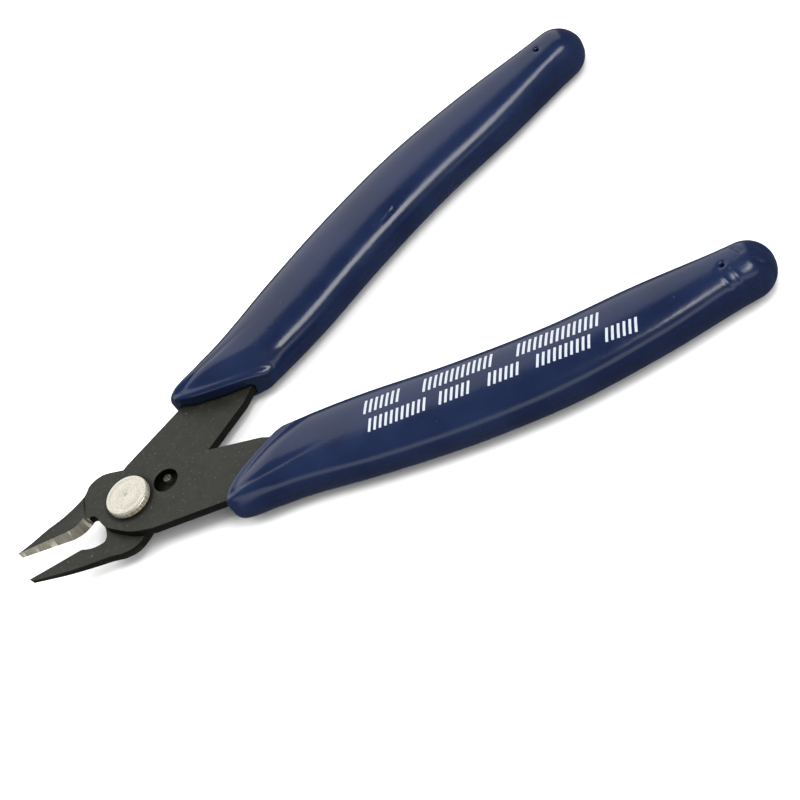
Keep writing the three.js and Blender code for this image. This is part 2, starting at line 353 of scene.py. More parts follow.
class Shader:
    """A node material whose textures are laid in the piece's own millimetres."""

    def __init__(self, name):
        self.material = bpy.data.materials.new(name)
        self.material.use_nodes = True
        self.tree = self.material.node_tree
        self.surface = self.tree.nodes["Principled BSDF"]
        coordinates = self.tree.nodes.new("ShaderNodeTexCoord")
        self.place = self.vector("SCALE", coordinates.outputs["Object"], scale=1 / MM)

    def put(self, socket, value):
        """Links an output to a socket, or sets the socket to a number or a colour."""
        if isinstance(value, bpy.types.NodeSocket):
            self.tree.links.new(value, socket)
        else:
            socket.default_value = value

    def vector(self, operation, a, b=None, scale=None):
        made = self.tree.nodes.new("ShaderNodeVectorMath")
        made.operation = operation
        self.put(made.inputs[0], a)
        if b is not None:
            self.put(made.inputs[1], b)
        if scale is not None:
            made.inputs["Scale"].default_value = scale
        return made.outputs["Value" if operation == "LENGTH" else "Vector"]

    def math(self, operation, a, b=0.0):
        made = self.tree.nodes.new("ShaderNodeMath")
        made.operation = operation
        self.put(made.inputs[0], a)
        self.put(made.inputs[1], b)
        return made.outputs[0]

    def noise(self, scale, detail=3.0, stretch=(1, 1, 1), roughness=0.5, distortion=0.0, place=None):
        made = self.tree.nodes.new("ShaderNodeTexNoise")
        self.put(made.inputs["Vector"], self.vector("MULTIPLY", place or self.place, stretch))
        made.inputs["Scale"].default_value = scale
        made.inputs["Detail"].default_value = detail
        made.inputs["Roughness"].default_value = roughness
        made.inputs["Distortion"].default_value = distortion
        return made.outputs["Fac"]

    def turned(self, degrees):
        """The piece's millimetres, turned about Z."""
        made = self.tree.nodes.new("ShaderNodeVectorRotate")
        made.rotation_type = "Z_AXIS"
        self.put(made.inputs["Vector"], self.place)
        made.inputs["Angle"].default_value = math.radians(degrees)
        return made.outputs[0]

    def steps(self, value, low, high, to_low=0.0, to_high=1.0):
        """value's range low to high, laid out smoothly over to_low to to_high."""
        made = self.tree.nodes.new("ShaderNodeMapRange")
        made.interpolation_type = "SMOOTHSTEP"
        self.put(made.inputs["Value"], value)
        made.inputs["From Min"].default_value = low
        made.inputs["From Max"].default_value = high
        made.inputs["To Min"].default_value = to_low
        made.inputs["To Max"].default_value = to_high
        return made.outputs["Result"]

    def mix(self, factor, a, b):
        """Colour a where factor is 0, and colour b where it is 1."""
        made = self.tree.nodes.new("ShaderNodeMix")
        made.data_type = "RGBA"
        self.put(made.inputs[0], factor)
        self.put(made.inputs[6], with_alpha(a))
        self.put(made.inputs[7], with_alpha(b))
        return made.outputs[2]

    def bump(self, height, distance, normal=None):
        """distance is the height in millimetres that a value of 1 stands."""
        made = self.tree.nodes.new("ShaderNodeBump")
        self.put(made.inputs["Height"], height)
        made.inputs["Distance"].default_value = distance * MM
        if normal is not None:
            self.put(made.inputs["Normal"], normal)
        return made.outputs["Normal"]

    def finish(self, colour, roughness, normal=None, metallic=0.0, **constants):
        self.put(self.surface.inputs["Base Color"], with_alpha(colour))
        self.put(self.surface.inputs["Roughness"], roughness)
        self.put(self.surface.inputs["Metallic"], metallic)
        if normal is not None:
            self.put(self.surface.inputs["Normal"], normal)
        for name, value in constants.items():
            self.surface.inputs[name.replace("_", " ")].default_value = value
        return self.material


def scratches(s, turns, length, width, low, high):
    """Fine straight marks that run in several directions, 1 on a mark and 0 off it."""
    total = None
    for degrees in turns:
        marks = s.noise(1.0, 1.0, (1 / length, 1 / width, 1 / width), place=s.turned(degrees))
        marks = s.steps(marks, low, high)
        total = marks if total is None else s.math("MAXIMUM", total, marks)
    return total


# ---- materials -------------------------------------------------------------------------------


def black_plate_material(name, shaded_spots):
    """Black oxide. The last argument holds (centre, radius, fade) of round spots darkened as painted
    shade.
    """
    s = Shader(name)
    mottle = s.noise(0.35, 4.0, roughness=0.6)
    grain = s.noise(9.0, 3.0)
    specks = s.steps(s.noise(3.2, 2.0), 0.68, 0.74)
    marks = scratches(s, (12, 58, -35, 83), 3.0, 0.09, 0.73, 0.80)
    patches = s.steps(s.noise(0.5, 2.0), 0.45, 0.65)
    marks = s.math("MULTIPLY", marks, patches)
    body = s.mix(s.steps(mottle, 0.3, 0.7), (0.013, 0.0135, 0.0112), (0.021, 0.0215, 0.0175))
    body = s.mix(s.steps(grain, 0.35, 0.75, 0.0, 0.35), body, (0.034, 0.033, 0.027))
    smudge = s.steps(s.noise(0.9, 5.0, roughness=0.7), 0.55, 0.75, 0.0, 0.5)
    body = s.mix(smudge, body, (0.044, 0.042, 0.032))
    body = s.mix(s.math("MULTIPLY", marks, 0.8), body, (0.11, 0.105, 0.088))
    body = s.mix(s.math("MULTIPLY", specks, 0.75), body, (0.17, 0.165, 0.14))
    # Each spot is painted shade: near black inside its radius, and fading out over the fade beyond it.
    for centre, radius, fade in shaded_spots:
        offset = s.vector("MULTIPLY", s.vector("SUBTRACT", s.place, (*centre, 0)), (1, 1, 0))
        dark = s.steps(s.vector("LENGTH", offset), radius, radius + fade, 0.9, 0.0)
        body = s.mix(dark, body, (0.002, 0.002, 0.0018))
    rough = s.steps(mottle, 0.25, 0.75, 0.42, 0.56)
    rough = s.math("SUBTRACT", rough, s.math("MULTIPLY", marks, 0.12))
    height = s.math("ADD", s.math("MULTIPLY", grain, 0.5), s.math("MULTIPLY", marks, -0.5))
    normal = s.bump(height, 0.012)
    return s.finish(body, rough, normal, 0.35)


def worn_highlit_edge_material():
    """Black oxide that is rubbed through to the steel in places, with those patches lightened further
    as a painted highlight along the edges.
    """
    s = Shader("worn_highlit_plate_edge")
    wear = s.noise(1.6, 5.0, roughness=0.65)
    bare_and_highlit = s.steps(wear, 0.42, 0.66)
    # The light patches are partly wear and partly a painted highlight on the plate's edges.
    colour = s.mix(bare_and_highlit, (0.022, 0.021, 0.018), (0.17, 0.16, 0.125))
    rough = s.steps(wear, 0.3, 0.7, 0.42, 0.3)
    return s.finish(colour, rough, s.bump(s.noise(8.0, 3.0), 0.01), 0.3)


def plate_wall_material():
    """The sheared wall of a stamped plate: a smooth band, and below it a torn one, both darkened with
    painted shade.
    """
    s = Shader("sheared_plate_wall")
    streaks = s.noise(1.0, 3.0, (7.0, 7.0, 0.6))
    torn = s.noise(3.0, 5.0, (1.6, 1.6, 2.4), roughness=0.7)
    # Both colours are far darker than the plate's faces: painted shade on the walls. The smooth and
    # torn bands are the wall's own.
    colour = s.mix(s.steps(torn, 0.4, 0.7), (0.003, 0.003, 0.0026), (0.014, 0.0135, 0.011))
    colour = s.mix(s.steps(streaks, 0.6, 0.85, 0.0, 0.4), colour, (0.05, 0.047, 0.038))
    height = s.math("ADD", streaks, s.math("MULTIPLY", torn, 1.4))
    return s.finish(colour, s.steps(torn, 0.3, 0.7, 0.45, 0.65), s.bump(height, 0.03), 0.3)


def ground_face_material():
    """Fine grinding lines across the flush face, with darker patches where they catch dirt."""
    s = Shader("ground_steel")
    lines = s.noise(1.0, 3.0, (11.0, 0.35, 0.6), place=s.turned(8))
    fine = s.noise(1.0, 2.0, (26.0, 0.8, 1.0), place=s.turned(8))
    grit = s.noise(6.0, 4.0, roughness=0.7)
    colour = s.mix(s.steps(lines, 0.3, 0.7), (0.37, 0.345, 0.275), (0.57, 0.535, 0.445))
    colour = s.mix(s.steps(grit, 0.5, 0.75, 0.0, 0.45), colour, (0.16, 0.145, 0.115))
    height = s.math("ADD", lines, s.math("MULTIPLY", fine, 0.5))
    return s.finish(colour, s.steps(grit, 0.3, 0.7, 0.42, 0.55), s.bump(height, 0.015), 0.35)


def rivet_material():
    """Spun silver: rings about the axis, broken by pressed-in pits and darker flecks."""
    s = Shader("spun_rivet")
    flat = s.vector("MULTIPLY", s.place, (1, 1, 0))
    radius = s.vector("LENGTH", flat)
    wander = s.math("MULTIPLY", s.noise(1.6, 3.0), 0.8)
    rings = s.math("SINE", s.math("MULTIPLY", s.math("ADD", radius, wander), 11.0))
    flecks = s.noise(6.5, 4.0, roughness=0.65, distortion=0.3)
    pits = s.steps(s.noise(4.2, 4.0, roughness=0.7), 0.56, 0.68)
    colour = s.mix(s.steps(flecks, 0.35, 0.65), (0.66, 0.62, 0.52), (0.88, 0.85, 0.76))
    colour = s.mix(s.steps(rings, -0.2, 1.0, 0.0, 0.22), colour, (0.52, 0.48, 0.42))
    colour = s.mix(s.math("MULTIPLY", pits, 0.55), colour, (0.42, 0.36, 0.30))
    rough = s.steps(flecks, 0.3, 0.7, 0.36, 0.26)
    height = s.math("ADD", s.math("MULTIPLY", rings, 0.10), s.math("MULTIPLY", flecks, 0.5))
    height = s.math("SUBTRACT", height, s.math("MULTIPLY", pits, 0.5))
    return s.finish(colour, rough, s.bump(height, 0.014), 0.9)


def rivet_side_material():
    """The rim of the rivet's heads, with streaks that run along the axis."""
    s = Shader("rivet_side")
    streaks = s.noise(1.0, 4.0, (3.0, 3.0, 0.5), roughness=0.6)
    colour = s.mix(s.steps(streaks, 0.35, 0.65), (0.34, 0.31, 0.20), (0.66, 0.63, 0.52))
    return s.finish(colour, s.steps(streaks, 0.3, 0.7, 0.4, 0.28), s.bump(streaks, 0.012), 0.45)


def dark_pin_material():
    s = Shader("dark_pin")
    flecks = s.noise(5.0, 4.0)
    colour = s.mix(s.steps(flecks, 0.4, 0.7), (0.07, 0.068, 0.06), (0.22, 0.21, 0.185))
    return s.finish(colour, s.steps(flecks, 0.3, 0.7, 0.3, 0.45), s.bump(flecks, 0.02), 0.8)


def spring_wire_material():
    """Drawn wire: lines along its run, and a little stain."""
    s = Shader("spring_wire")
    drawn = s.noise(1.0, 3.0, (0.35, 6.0, 6.0))
    stain = s.noise(0.7, 4.0, roughness=0.6)
    colour = s.mix(s.steps(stain, 0.35, 0.7), (0.34, 0.33, 0.31), (0.20, 0.185, 0.16))
    colour = s.mix(s.steps(drawn, 0.5, 0.8, 0.0, 0.6), colour, (0.55, 0.54, 0.51))
    return s.finish(colour, s.steps(stain, 0.3, 0.7, 0.24, 0.4), s.bump(drawn, 0.015), 1.0)


def vinyl_material(name, scuffs):
    """Dipped vinyl, glossy but uneven. scuffs holds (centre, reach, strength) of dull patches."""
    s = Shader(name)
    peel = s.noise(0.55, 2.0)
    ripple = s.noise(2.2, 3.0)
    fine = s.noise(14.0, 2.0)
    cloud = s.noise(0.12, 3.0)
    specks = s.steps(s.noise(2.3, 1.0), 0.80, 0.84)
    dull = None
    for centre, reach, strength in scuffs:
        offset = s.vector("SUBTRACT", s.place, (centre[0], centre[1], -3.5))
        offset = s.vector("MULTIPLY", offset, (1 / reach[0], 1 / reach[1], 0.12))
        patch = s.steps(s.vector("LENGTH", offset), 0.35, 1.0, strength, 0.0)
        dull = patch if dull is None else s.math("MAXIMUM", dull, patch)
    rub = s.steps(s.noise(2.4, 6.0, roughness=0.75), 0.42, 0.62)
    dull = s.math("MULTIPLY", dull, rub)
    hairs = scratches(s, (20, 75, -50), 2.2, 0.07, 0.76, 0.82)
    hairs = s.math("MULTIPLY", hairs, s.steps(s.noise(0.25, 1.0), 0.5, 0.62))
    colour = s.mix(s.steps(cloud, 0.3, 0.7), (0.0036, 0.0082, 0.030), (0.0052, 0.0118, 0.040))
    colour = s.mix(s.math("MULTIPLY", dull, 0.35), colour, (0.028, 0.042, 0.09))
    colour = s.mix(s.math("MULTIPLY", specks, 0.5), colour, (0.12, 0.15, 0.22))
    colour = s.mix(s.math("MULTIPLY", hairs, 0.35), colour, (0.045, 0.058, 0.11))
    rough = s.steps(cloud, 0.3, 0.7, 0.17, 0.24)
    rough = s.math("ADD", rough, s.math("MULTIPLY", dull, 0.22))
    rough = s.math("ADD", rough, s.math("MULTIPLY", hairs, 0.15))
    normal = s.bump(peel, 0.02)
    normal = s.bump(ripple, 0.004, normal)
    normal = s.bump(s.math("MULTIPLY", fine, s.math("ADD", dull, 0.06)), 0.02, normal)
    normal = s.bump(s.math("MULTIPLY", hairs, -1.0), 0.02, normal)
    return s.finish(colour, rough, normal, 0.0, IOR=1.5)


def print_ink_material():
    s = Shader("white_print")
    thin = s.noise(2.5, 4.0, roughness=0.7)
    colour = s.mix(s.steps(thin, 0.5, 0.75, 0.0, 0.6), (0.37, 0.395, 0.43), (0.20, 0.235, 0.31))
    return s.finish(colour, s.steps(thin, 0.3, 0.7, 0.35, 0.5), s.bump(thin, 0.01))


def floor_material():
    s = Shader("pale_floor")
    paper = s.noise(0.02, 3.0)
    colour = s.mix(paper, (0.86, 0.86, 0.86), (0.90, 0.90, 0.90))
    return s.finish(colour, 0.7, None, 0.0, Specular_IOR_Level=0.1)


# ---- blades ----------------------------------------------------------------------------------


def tang_outline():
    """Round the tang's end, from the neck's inner edge to its outer edge."""
    first_x, steps = NECK_INNER[0] + 6, 48
    stations = [first_x + (TANG_END_X - first_x) * k / steps for k in range(steps + 1)]
    inner, outer = [], []
    for x in stations:
        middle, half_width = handle_at(x)
        inner.append(Vector((x, middle - half_width + GRIP_WALL)))
        outer.append(Vector((x, middle + half_width - GRIP_WALL)))
    middle, half_width = handle_at(TANG_END_X)
    end = arc((TANG_END_X, middle), half_width - GRIP_WALL, -math.pi / 2, math.pi / 2, 12)
    return inner + end[1:-1] + outer[::-1] + [Vector(NECK_OUTER)]


def inner_jaw_edge(jaw):
    """From the head, through the throat, to the tip, along the edge that cuts."""
    edge = [Vector((-5.8, 1.7))]
    edge += quadratic(edge[0], (-6.3, jaw["throat"][1] - 0.2), jaw["throat"], 14)
    edge += quadratic(jaw["throat"], jaw["slope"], jaw["root"], 16)
    edge += [edge[-1].lerp(Vector(jaw["tip"]), k / 12) for k in range(1, 13)]
    return edge


def blade_outline(jaw, shift):
    """Round the flat plate: the jaw's outer edge, the tang, the head and the jaw's inner edge."""
    outer_jaw = [
        (JAW_TIP_X, jaw["tip"][1] - JAW_TIP_WIDTH),
        (-17.8, -0.85 + shift),
        (-14.8, -2.3 + shift),
        (-11.3, -3.7 + shift),
        (-7.9, -5.4 + shift / 2),
        (-6.3, -6.9),
        (-3.7, -7.6),
        (-0.5, -6.6),
    ]
    head = [(2.8, 8.1), (-0.8, 6.7), (-3.4, 4.7), (-5.0, 3.2), (-5.8, 1.7)]
    outline = [Vector(outer_jaw[0])] + spline(outer_jaw, 70)
    outline += [Vector(NECK_INNER)] + tang_outline()
    outline += [Vector(head[0])] + spline(head, 48)
    return outline + inner_jaw_edge(jaw)[1:]


def bent_face_z(x, bend_sign):
    """Where the plate's meeting face lies at x, once the jaw is bent."""
    past = max(0.0, JAW_BEND_X - x)
    return -MEETING_Z + bend_sign * past * JAW_BEND_SLOPE


def bend_jaw(point, bend_sign):
    """Moves a point of the flat plate to where the bent and thinned jaw has it."""
    past = max(0.0, JAW_BEND_X - point.x)
    depth = (-MEETING_Z - point.z) / PLATE
    thinning = (PLATE - JAW_TIP_THICKNESS) / (JAW_BEND_X - JAW_TIP_X)
    face_z = bent_face_z(point.x, bend_sign)
    return Vector((point.x, point.y, face_z - depth * (PLATE - thinning * past)))


def add_blade_materials(made, plate_material):
    """Fills the slots PLATE_SLOT, WALL_SLOT, EDGE_SLOT and GROUND_SLOT, in that order."""
    for material in (plate_material, MATERIALS["wall"], MATERIALS["edge"], MATERIALS["ground"]):
        made.data.materials.append(material)


def grinding_tool(jaw, bend_sign, plate_material):
    """What the wheel takes away: a band that leans back from the cutting edge and follows it."""
    edge = inner_jaw_edge(jaw)[GRIND_START:]
    edge.append(edge[-1] + (edge[-1] - edge[-2]) * GRIND_RUN_ON)
    low, high = GRIND_DEPTHS
    # Each corner as (depth, how far it lies outside the cutting edge).
    corners = [
        (low, GRIND_REACH),
        (low, -BEVEL_LEAN * low),
        (high, -BEVEL_LEAN * high),
        (high, GRIND_REACH),
    ]
    bm = bmesh.new()
    rings = []
    for k, point in enumerate(edge):
        along = (edge[min(k + 1, len(edge) - 1)] - edge[max(k - 1, 0)]).normalized()
        away = Vector((along.y, -along.x))
        ring = []
        for depth, outside in corners:
            at = point + away * outside
            ring.append(bm.verts.new((at.x, at.y, bent_face_z(at.x, bend_sign) - depth)))
        rings.append(ring)
    for ring, after in zip(rings, rings[1:]):
        for k in range(4):
            bm.faces.new((ring[k], ring[(k + 1) % 4], after[(k + 1) % 4], after[k]))
    bm.faces.new(rings[0])
    bm.faces.new(rings[-1])
    tool = new_object("grinding_tool", bm)
    add_blade_materials(tool, plate_material)
    for face in tool.data.polygons:
        face.material_index = GROUND_SLOT
    return tool


def bend_plate(made, bend_sign):
    """Bends a flat plate at its jaw, with a narrow strip of faces on each side of the fold."""
    bm = bmesh.new()
    bm.from_mesh(made.data)
    for x in (JAW_BEND_X + FOLD_STRIP, JAW_BEND_X, JAW_BEND_X - FOLD_STRIP):
        parts = [*bm.verts, *bm.edges, *bm.faces]
        bmesh.ops.bisect_plane(bm, geom=parts, plane_co=(x, 0, 0), plane_no=(1, 0, 0))
    for vertex in bm.verts:
        vertex.co = bend_jaw(vertex.co, bend_sign)
    bm.to_mesh(made.data)
    bm.free()


def round_edges(made):
    """A narrow bevel round the plate, worn and lightened with a painted highlight, with the flat faces
    still shaded flat.
    """
    bevel = made.modifiers.new("edges", "BEVEL")
    bevel.width = EDGE_BEVEL
    bevel.segments = 2
    bevel.limit_method = "ANGLE"
    bevel.angle_limit = math.radians(EDGE_BEVEL_ANGLE)
    bevel.material = EDGE_SLOT
    for face in made.data.polygons:
        face.use_smooth = True
    apply_modifiers(made)
    level = made.modifiers.new("flat_faces", "WEIGHTED_NORMAL")
    level.mode = "FACE_AREA"
    level.weight = 100


def blade(name, jaw, shift, bend_sign, holes, plate_material):
    """A stamped plate with round holes, a bent and thinned jaw, and a ground cutting edge."""
    made = prism(name, blade_outline(jaw, shift), -MEETING_Z - PLATE, -MEETING_Z)
    for centre, radius in holes:
        made = carve(made, prism("hole", circle(centre, radius, 64), -4, 4))
    bend_plate(made, bend_sign)
    add_blade_materials(made, plate_material)
    made = carve(made, grinding_tool(jaw, bend_sign, plate_material), tool_folds=True)
    for face in made.data.polygons:
        if face.material_index != GROUND_SLOT:
            face.material_index = PLATE_SLOT if abs(face.normal.z) > 0.5 else WALL_SLOT
    round_edges(made)
    return made


# ---- rivet, stop pin, spring -----------------------------------------------------------------


def head_profile(base, top):
    """One head's rim and face: rounded over, with turned rings and the spinner's dimple."""
    rim = HEAD_RIM_ROUND
    points = [(HEAD_RADIUS - SMALL_CHAMFER, base), (HEAD_RADIUS, base + SMALL_CHAMFER)]
    for k in range(7):
        a = math.pi / 2 * k / 6
        points.append((HEAD_RADIUS - rim + rim * math.cos(a), top - rim + rim * math.sin(a)))
    for radius, drop in ((2.9, 0.0), (2.75, 0.03), (2.6, 0.0), (1.7, 0.015), (0.95, 0.03), (0.8, 0.05)):
        points.append((radius, top - drop))
    points += [(0.62, top - 0.04), (0.4, top - 0.07), (0.15, top - 0.12)]
    return points


def rivet():
    """The shank, with the same head at both ends."""
    base = MEETING_Z + PLATE + 0.05
    top = base + HEAD_HEIGHT
    front = [(SHANK_RADIUS, base)] + head_profile(base, top)
    back = [(radius, -z) for radius, z in reversed(front)]
    centre = top - RIVET_DIMPLE
    made = lathe("pivot_rivet_fine", [(0, -centre)] + back + front + [(0, centre)], 128)
    made.data.materials.append(MATERIALS["rivet"])
    made.data.materials.append(MATERIALS["rivet_side"])
    for face in made.data.polygons:
        face.material_index = 0 if abs(face.normal.z) > 0.75 else 1
    smooth_by_angle(made, 40)
    return made


def stop_pin():
    """A pin through the rear plate, rounded at its top, with a small centre mark."""
    low = -MEETING_Z - PLATE
    rim = STOP_PIN_ROUND
    profile = [(0, low), (STOP_PIN_RADIUS - SMALL_CHAMFER, low), (STOP_PIN_RADIUS, low + SMALL_CHAMFER)]
    for k in range(5):
        a = math.pi / 2 * k / 4
        across = STOP_PIN_RADIUS - rim + rim * math.cos(a)
        profile.append((across, STOP_PIN_TOP - rim + rim * math.sin(a)))
    profile += [(0.36, STOP_PIN_TOP - 0.02), (0.28, STOP_PIN_TOP - 0.2), (0, STOP_PIN_TOP - 0.5)]
    made = lathe("stop_pin_fine", profile, 64)
    made.data.transform(Matrix.Translation((*STOP_PIN, 0)))
    made.data.materials.append(MATERIALS["pin"])
    smooth_by_angle(made, 40)
    return made


# From the wire's end inside the front grip to the end of its short leg, in the front half's plan.
SPRING_PATH = [
    (52, 12.6),
    (40, 9.2),
    (30, 5.3),
    (26, 3.7),
    (20, 1.6),
    (15, -0.1),
    (13.4, -0.8),
    (12.5, -1.0),
    (11.9, -0.3),
    (9.6, 3.1),
]

# Each ring of the wire's rounded end, as (how far past the end, share of its radius).
WIRE_TIP = [(0.5, 0.75), (0.8, 0.35)]
WIRE_TIP_STRETCH = 0.6


def centripetal(points, steps):
    """A curve through the points that doesn't overshoot where they are close together."""
    ends = [2 * points[0] - points[1], *points, 2 * points[-1] - points[-2]]
    made = [points[0]]
    for k in range(1, len(ends) - 2):
        p0, p1, p2, p3 = ends[k - 1 : k + 3]
        t0 = 0.0
        t1 = t0 + math.sqrt((p1 - p0).length)
        t2 = t1 + math.sqrt((p2 - p1).length)
        t3 = t2 + math.sqrt((p3 - p2).length)
        for step in range(1, steps + 1):
            t = t1 + (t2 - t1) * step / steps
            a1 = p0 * (t1 - t) / (t1 - t0) + p1 * (t - t0) / (t1 - t0)
            a2 = p1 * (t2 - t) / (t2 - t1) + p2 * (t - t1) / (t2 - t1)
            a3 = p2 * (t3 - t) / (t3 - t2) + p3 * (t - t2) / (t3 - t2)
            b1 = a1 * (t2 - t) / (t2 - t0) + a2 * (t - t0) / (t2 - t0)
            b2 = a2 * (t3 - t) / (t3 - t1) + a3 * (t - t1) / (t3 - t1)
            made.append(b1 * (t2 - t) / (t2 - t1) + b2 * (t - t1) / (t2 - t1))
    return made


def spring():
    """A round wire along SPRING_PATH."""
    path = centripetal([Vector((x, y, WIRE_Z)) for x, y in SPRING_PATH], 12)
    up = Vector((0, 0, 1))
    sides = 20
    rings = []
    for k, point in enumerate(path):
        along = (path[min(k + 1, len(path) - 1)] - path[max(k - 1, 0)]).normalized()
        across = along.cross(up).normalized()
        sizes = [(0.0, 1.0)]
        if k == 0:
            sizes = [(-past, share) for past, share in reversed(WIRE_TIP)] + sizes
        if k == len(path) - 1:
            sizes += WIRE_TIP
        for shift, share in sizes:
            ring = []
            for side in range(sides):
                a = 2 * math.pi * side / sides
                off = across * math.cos(a) + up * math.sin(a)
                end = along * shift * WIRE_RADIUS * WIRE_TIP_STRETCH
                ring.append(point + end + off * WIRE_RADIUS * share)
            rings.append(ring)
    made = skin_rings("return_spring_fine", rings)
    made.data.materials.append(MATERIALS["spring"])
    smooth_by_angle(made, 50)
    return made


# ---- grips -----------------------------------------------------------------------------------


def grip_skin(name):
    """The whole grip before its mouth is cut. Its rings lie closer together near both ends."""
    along_steps, around_steps = 150, 88
    rings = []
    for k in range(1, along_steps):
        along = (1 - math.cos(math.pi * k / along_steps)) / 2
        x = GRIP_START_X + along * (GRIP_END_X - GRIP_START_X)
        middle, half_width = handle_at(x)
        past = max(0.0, x - GRIP_RUN_END_X, GRIP_START_X + GRIP_END_RADIUS - x)
        end_round = math.sqrt(max(0.0, 1 - (past / GRIP_END_RADIUS) ** 2))
        ring = []
        for step in range(around_steps):
            a = 2 * math.pi * (step + 0.5) / around_steps
            across = math.copysign(abs(math.cos(a)) ** (2 / SECTION_POWER), math.cos(a))
            up = math.copysign(abs(math.sin(a)) ** (2 / SECTION_POWER), math.sin(a))
            y = middle + end_round * half_width * across
            ring.append(Vector((x, y, end_round * GRIP_HALF_HEIGHT * up)))
        rings.append(ring)
    return skin_rings(name, rings)


MOUTH_CURVE = [
    (21.5, 15.0),
    (18.6, 14.2),
    (16.7, 12.9),
    (15.9, 11.2),
    (16.7, 9.1),
    (18.8, 6.8),
    (23.6, 3.6),
    (28.6, 0.9),
]


# Corners beyond the grip: one past its inner side, two past its end, one past its outer side.
BEHIND_MOUTH = [(34, -6), (115, -6), (115, 40), (23, 20)]

# Where the slot for the blade starts, ahead of the neck's inner and outer edges.
SLOT_START_INNER = (NECK_INNER[0] - 16, NECK_INNER[1] - 5.2)
SLOT_START_OUTER = (NECK_OUTER[0] - 12, NECK_OUTER[1] - 2.1)


def mouth_line(slid):
    """The mouth's outline, slid along the handle by one distance at its nose and another inside."""
    steps = 56
    at_nose, inside = slid
    line = [Vector(MOUTH_CURVE[0])] + spline(MOUTH_CURVE, steps)
    made = []
    for k, point in enumerate(line):
        share = min(max((k / steps - 0.4) / 0.5, 0.0), 1.0)
        made.append(point + Vector((at_nose + (inside - at_nose) * share, 0)))
    return made


def behind_mouth(slid):
    """A block that holds all of the grip that lies behind its mouth."""
    outline = [Vector(p) for p in BEHIND_MOUTH]
    return prism("behind_mouth", outline + mouth_line(slid), -8, 8)


def widened(outline, by):
    """The outline moved outwards by a distance, point by point."""
    area = sum(a.x * b.y - b.x * a.y for a, b in zip(outline, outline[1:] + outline[:1]))
    sign = 1 if area > 0 else -1
    made = []
    for k, point in enumerate(outline):
        along = (outline[(k + 1) % len(outline)] - outline[k - 1]).normalized()
        made.append(point + Vector((along.y, -along.x)) * by * sign)
    return made


def tang_cavity():
    """The space that the tang and the neck take up in the grip, with clearance."""
    outline = [Vector(SLOT_START_INNER), Vector(NECK_INNER)]
    outline += tang_outline() + [Vector(SLOT_START_OUTER)]
    low = -MEETING_Z - PLATE - SLEEVE_CLEARANCE
    return prism("tang_cavity", widened(outline, SLEEVE_CLEARANCE), low, SLEEVE_CLEARANCE)


def smooth_share(value, low, high):
    """0 below low, 1 above high, and smooth between, for an array."""
    share = np.clip((value - low) / (high - low), 0, 1)
    return share * share * (3 - 2 * share)


def distance_to_line(points, line):
    """How far each point of an array lies from a broken line."""
    nearest = np.full(len(points), 1e9)
    for a, b in zip(line, line[1:]):
        start, run = np.array(a), np.array(b - a)
        share = np.clip((points - start) @ run / max(run @ run, 1e-9), 0, 1)
        gap = np.linalg.norm(points - start - share[:, None] * run, axis=1)
        nearest = np.minimum(nearest, gap)
    return nearest


def shape_mouth(points, slid):
    """Lowers the faces towards the mouth's rim, and leaves the round nose full beside a crease."""
    flat = points[:, :2]
    behind = distance_to_line(flat, mouth_line(slid))
    rim = MOUTH_RIM + (GRIP_HALF_HEIGHT - MOUTH_RIM) * smooth_share(behind, -0.8, MOUTH_RAMP)
    z = points[:, 2]
    over_tang = np.where(z > 0, 0, PLATE) + SLEEVE_CLEARANCE + VINYL_OVER_TANG
    thins = smooth_share(flat[:, 1], NOSE_THINS_FROM_Y, NOSE_THINS_TO_Y)
    base = over_tang + (NOSE_BASE - over_tang) * thins
    nose_round = np.clip(behind / NOSE_ROUND, 0, 1)
    nose = base + (GRIP_HALF_HEIGHT - base) * np.sqrt(1 - (1 - nose_round) ** 2)
    in_nose = smooth_share(flat[:, 1], CREASE_Y - 0.5, CREASE_Y + 0.9)
    limit = rim * (1 - in_nose) + nose * in_nose
    crease = np.exp(-(((flat[:, 1] - CREASE_Y) / CREASE_WIDTH) ** 2))
    crease = crease * (1 - smooth_share(behind, 3.0, 12.0))
    limit = np.maximum(limit - CREASE_DEPTH * crease * smooth_share(behind, 0.3, 1.5), base + 0.1)
    above = np.maximum(np.abs(z) - base, 0)
    squeezed = base + above * (limit - base) / (GRIP_HALF_HEIGHT - base)
    lip = 0
    for centre, width, height in (LIP_BEAD, LIP_GROOVE):
        lip = lip + height * np.exp(-(((behind - centre) / width) ** 2))
    squeezed = squeezed + lip * (1 - in_nose) * (above > 0.4)
    points[:, 2] = np.where(above > 0, np.sign(z) * squeezed, z)
    return points


